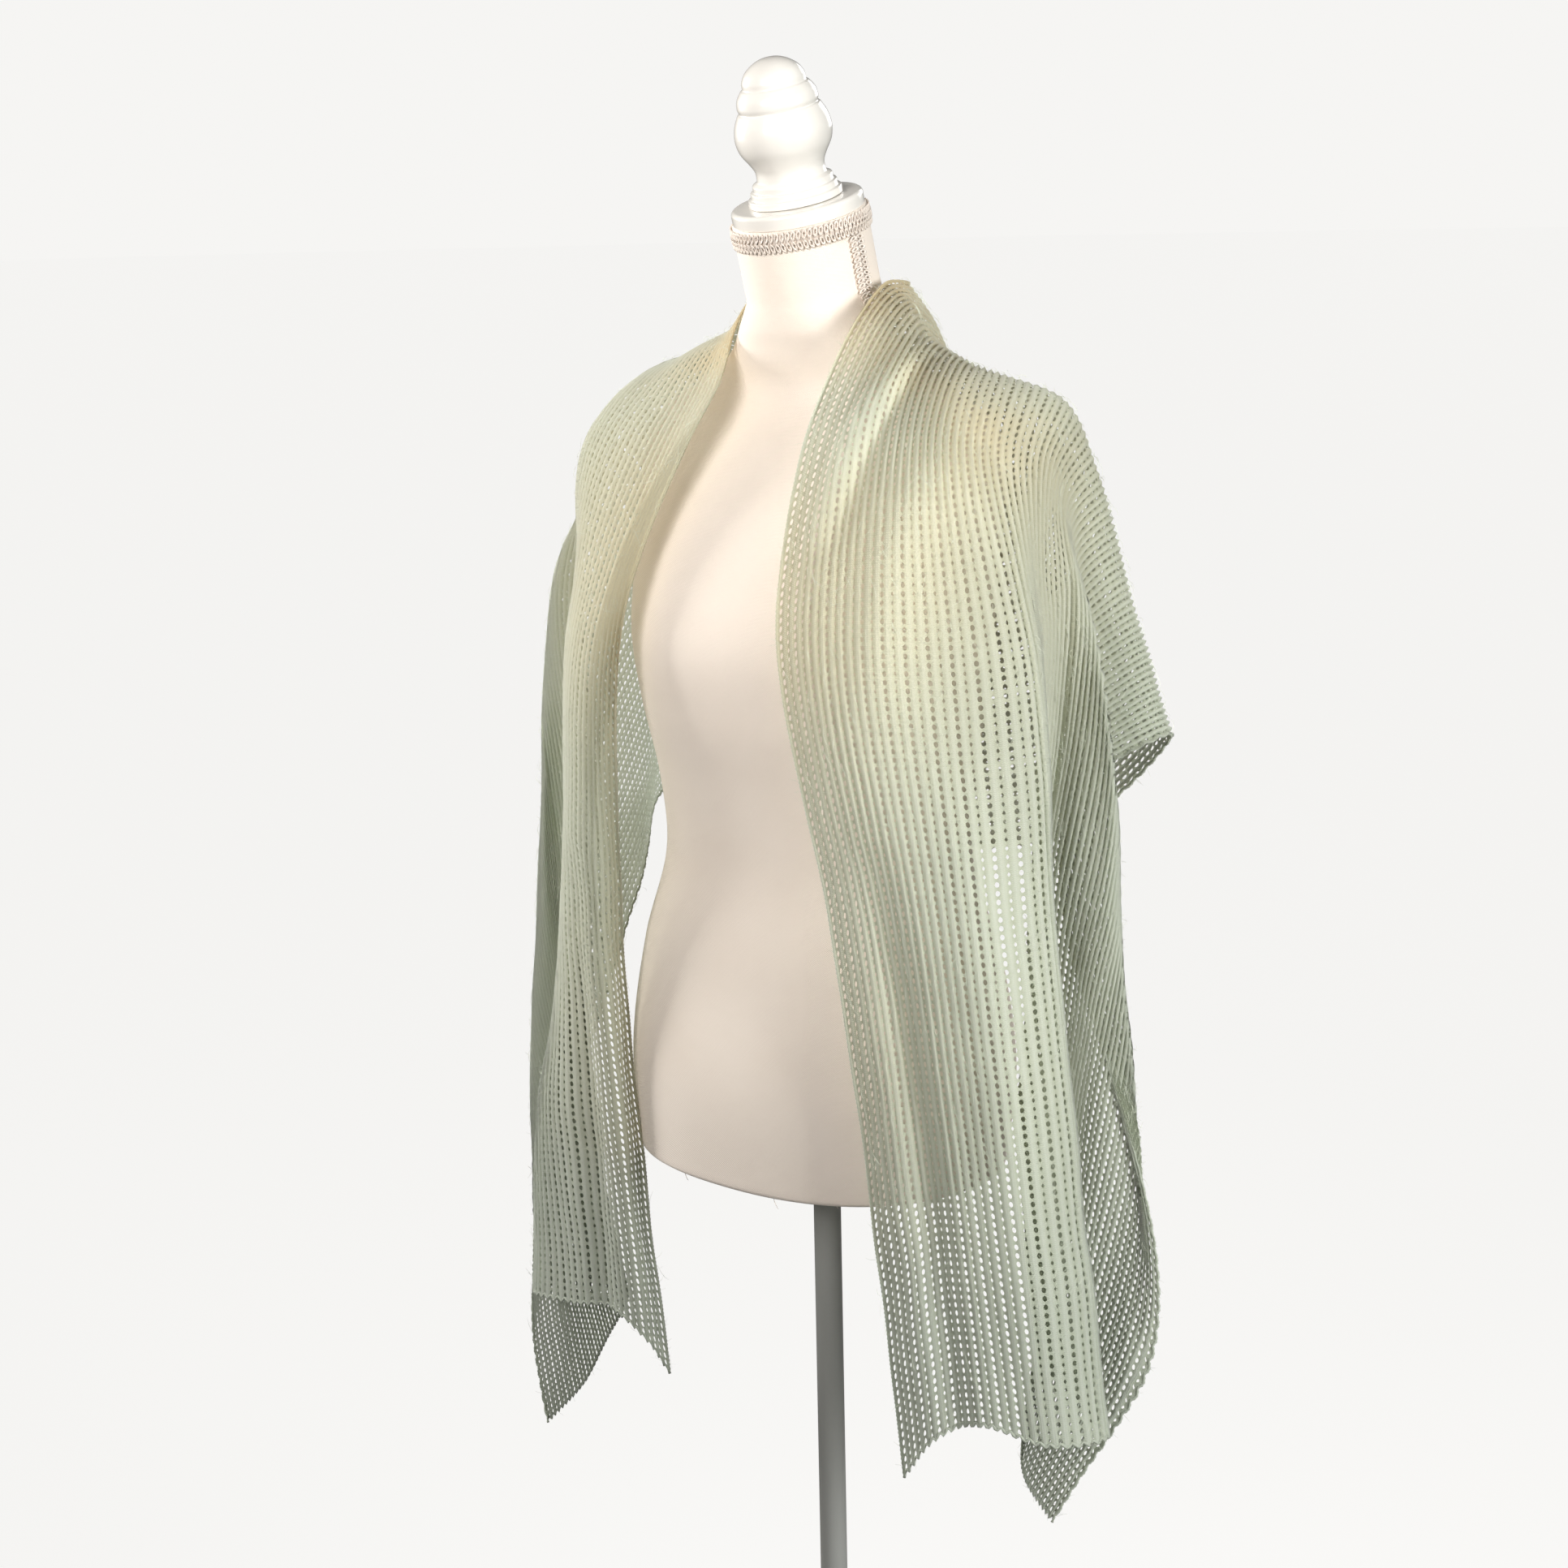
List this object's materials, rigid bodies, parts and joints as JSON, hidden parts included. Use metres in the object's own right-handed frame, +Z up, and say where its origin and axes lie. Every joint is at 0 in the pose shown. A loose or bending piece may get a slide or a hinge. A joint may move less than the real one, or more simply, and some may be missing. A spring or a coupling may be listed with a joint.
{
  "type": "lace shawl on a limbless dress form",
  "caption": "Ribbed lace shawl worn open over the shoulders of a limbless dress form, its ends hanging down the front and its width falling over the back, on a pole and round base.",
  "frame": {"origin": "centre of the flat underside of the stand's base, on the floor", "axes": "+Z up along the pole, -Y the way the form faces, +X to the form's left side"},
  "size_m": [0.617, 0.31, 1.6636],
  "materials": {
    "mint_wool": "soft hairy knit",
    "cream_jersey": "fine stretched jersey",
    "cream_braid": "looped braid",
    "white_gloss_wood": "white gloss paint",
    "white_enamel": "satin white enamel"
  },
  "bodies": {
    "root": {"shawl_back": "mint_wool", "shawl_left": "mint_wool", "shawl_right": "mint_wool", "form_body": "cream_jersey", "neck_braid": "cream_braid", "neck_braid_drop": "cream_braid", "neck_cap": "white_gloss_wood", "finial": "white_gloss_wood", "pole": "white_enamel", "base": "white_enamel"}
  },
  "joints": []
}
